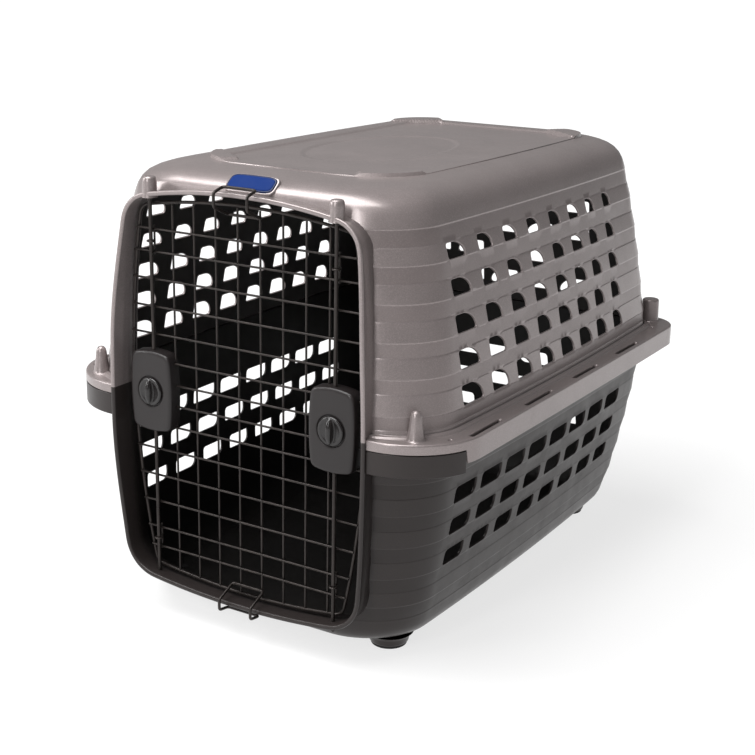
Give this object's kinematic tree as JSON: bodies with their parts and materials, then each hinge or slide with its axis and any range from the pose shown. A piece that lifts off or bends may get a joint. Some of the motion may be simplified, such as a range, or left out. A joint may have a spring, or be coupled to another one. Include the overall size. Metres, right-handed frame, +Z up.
{
  "type": "pet transport carrier",
  "caption": "Two-part moulded pet carrier with a vented shell, a mid flange, a swinging wire grid door and a turn-dial rod latch on each side of the door.",
  "frame": {"origin": "middle of the footprint on the ground", "axes": "+Z up, +Y towards the closed rear wall, so the door faces -Y"},
  "size_m": [0.556, 0.72, 0.56],
  "materials": {
    "upper_plastic": "fine-grained metallic taupe",
    "lower_plastic": "fine-grained dark brown-grey",
    "pad_rubber": "matt black",
    "screw_steel": "zinc plated",
    "badge_plastic": "plain glossy blue",
    "door_wire": "dark bronze powder coat",
    "latch_plastic": "satin dark grey",
    "dial_plastic": "satin dark grey"
  },
  "bodies": {
    "shell": {"top_shell": "upper_plastic", "bottom_shell": "lower_plastic", "foot_pads": "pad_rubber", "flange_screws": "screw_steel", "badge": "badge_plastic"},
    "door": {"door_border_wire": "door_wire", "door_crosswires": "door_wire", "door_uprights": "door_wire", "rod_guides": "door_wire", "upper_stop_loop": "door_wire", "lower_stop_loop": "door_wire", "left_latch_cover": "latch_plastic", "left_latch_back": "latch_plastic", "left_latch_screws": "screw_steel", "right_latch_cover": "latch_plastic", "right_latch_back": "latch_plastic", "right_latch_screws": "screw_steel"},
    "left_dial_body": {"left_dial": "dial_plastic", "left_cam": "dial_plastic", "left_cam_clip": "screw_steel"},
    "right_dial_body": {"right_dial": "dial_plastic", "right_cam": "dial_plastic", "right_cam_clip": "screw_steel"},
    "left_upper_rod_body": {"left_upper_rod": "door_wire"},
    "left_lower_rod_body": {"left_lower_rod": "door_wire"},
    "right_upper_rod_body": {"right_upper_rod": "door_wire"},
    "right_lower_rod_body": {"right_lower_rod": "door_wire"}
  },
  "joints": [
    {"name": "door_swing", "type": "hinge", "parent": "shell", "child": "door", "pos_m": [0.1296, -0.3344, 0.288], "axis": [0, 0, 1], "range_deg": [0, 105]},
    {"name": "left_dial_turn", "type": "hinge", "parent": "door", "child": "left_dial_body", "pos_m": [-0.1296, -0.3344, 0.288], "axis": [0, -1, 0], "range_deg": [0, 90]},
    {"name": "right_dial_turn", "type": "hinge", "parent": "door", "child": "right_dial_body", "pos_m": [0.1296, -0.3344, 0.288], "axis": [0, -1, 0], "range_deg": [0, 90]},
    {"name": "left_upper_rod_slide", "type": "slide", "parent": "door", "child": "left_upper_rod_body", "axis": [0, 0, -1], "range_m": [0, 0.01601]},
    {"name": "left_lower_rod_slide", "type": "slide", "parent": "door", "child": "left_lower_rod_body", "axis": [0, 0, 1], "range_m": [0, 0.01601]},
    {"name": "right_upper_rod_slide", "type": "slide", "parent": "door", "child": "right_upper_rod_body", "axis": [0, 0, -1], "range_m": [0, 0.01601]},
    {"name": "right_lower_rod_slide", "type": "slide", "parent": "door", "child": "right_lower_rod_body", "axis": [0, 0, 1], "range_m": [0, 0.01601]}
  ],
  "couplings": [
    {"joint": "left_upper_rod_slide", "follows": "left_dial_turn", "m_per_rad": 0.010186},
    {"joint": "left_lower_rod_slide", "follows": "left_dial_turn", "m_per_rad": 0.010186},
    {"joint": "right_upper_rod_slide", "follows": "right_dial_turn", "m_per_rad": 0.010186},
    {"joint": "right_lower_rod_slide", "follows": "right_dial_turn", "m_per_rad": 0.010186}
  ]
}
